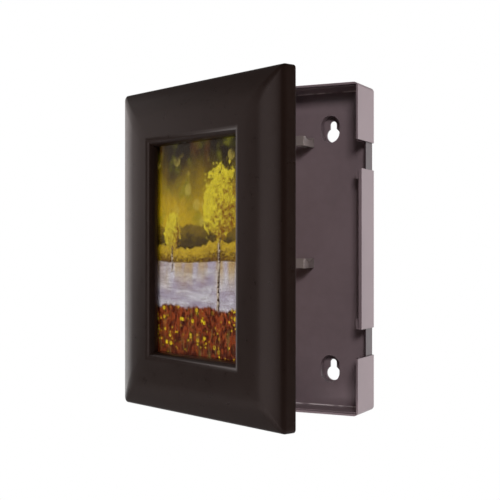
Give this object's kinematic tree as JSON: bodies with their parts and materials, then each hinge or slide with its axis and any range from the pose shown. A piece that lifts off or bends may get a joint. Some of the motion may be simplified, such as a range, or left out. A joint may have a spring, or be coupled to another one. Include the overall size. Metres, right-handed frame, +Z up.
{
  "type": "wall key box with picture-frame door",
  "caption": "Shallow wall-hung key box with hooks inside and a thick moulded picture frame as its side-hinged door, held shut by magnets.",
  "frame": {"origin": "middle of the wall box's rear face, on the wall plane", "axes": "+X to the right seen from the front, +Y into the wall, +Z up"},
  "size_m": [0.1807, 0.1101, 0.227],
  "materials": {
    "box": "satin moulded plastic, warm grey-brown",
    "hook": "satin moulded plastic, warm grey-brown",
    "pin": "drawn steel wire",
    "steel_disc": "zinc-plated steel",
    "door": "satin dark brown plastic",
    "liner": "matt dark brown plastic",
    "glazing": "clear acrylic sheet",
    "print": null,
    "board": "hardboard",
    "screw": "zinc-plated steel",
    "clip": "nickel-plated steel strip",
    "arm": "moulded plastic",
    "magnet": "nickel-plated magnet"
  },
  "bodies": {
    "wall_box": {"back_box": "box", "hook_upper_left": "hook", "hook_upper_middle": "hook", "hook_upper_right": "hook", "hook_lower_left": "hook", "hook_lower_middle": "hook", "hook_lower_right": "hook", "hinge_pin_upper": "pin", "hinge_pin_lower": "pin", "strike_disc_upper": "steel_disc", "strike_disc_lower": "steel_disc"},
    "door": {"door_frame": "door", "door_liner": "liner", "glazing": "glazing", "picture_print": "print", "backing_board": "board", "liner_screws": "screw", "arm_screws": "screw", "clip_screws": "screw", "hinge_arm_upper": "arm", "hinge_arm_lower": "arm", "magnet_upper": "magnet", "magnet_lower": "magnet"},
    "top_clip": {"clip_top": "clip"},
    "bottom_clip": {"clip_bottom": "clip"},
    "left_clip": {"clip_left": "clip"},
    "right_clip": {"clip_right": "clip"}
  },
  "joints": [
    {"name": "door_hinge", "type": "hinge", "parent": "wall_box", "child": "door", "pos_m": [-0.0816, -0.02, 0], "axis": [0, 0, -1], "range_deg": [-24, 86]},
    {"name": "top_clip_turn", "type": "hinge", "parent": "door", "child": "top_clip", "pos_m": [-0.01415, -0.06913, 0.0835], "axis": [0.4067, 0.9135, 0], "range_deg": [-90, 90]},
    {"name": "bottom_clip_turn", "type": "hinge", "parent": "door", "child": "bottom_clip", "pos_m": [-0.01415, -0.06913, -0.0835], "axis": [0.4067, 0.9135, 0], "range_deg": [-90, 90]},
    {"name": "left_clip_turn", "type": "hinge", "parent": "door", "child": "left_clip", "pos_m": [-0.0676, -0.04534, 0], "axis": [0.4067, 0.9135, 0], "range_deg": [-90, 90]},
    {"name": "right_clip_turn", "type": "hinge", "parent": "door", "child": "right_clip", "pos_m": [0.03929, -0.09292, 0], "axis": [0.4067, 0.9135, 0], "range_deg": [-90, 90]}
  ]
}
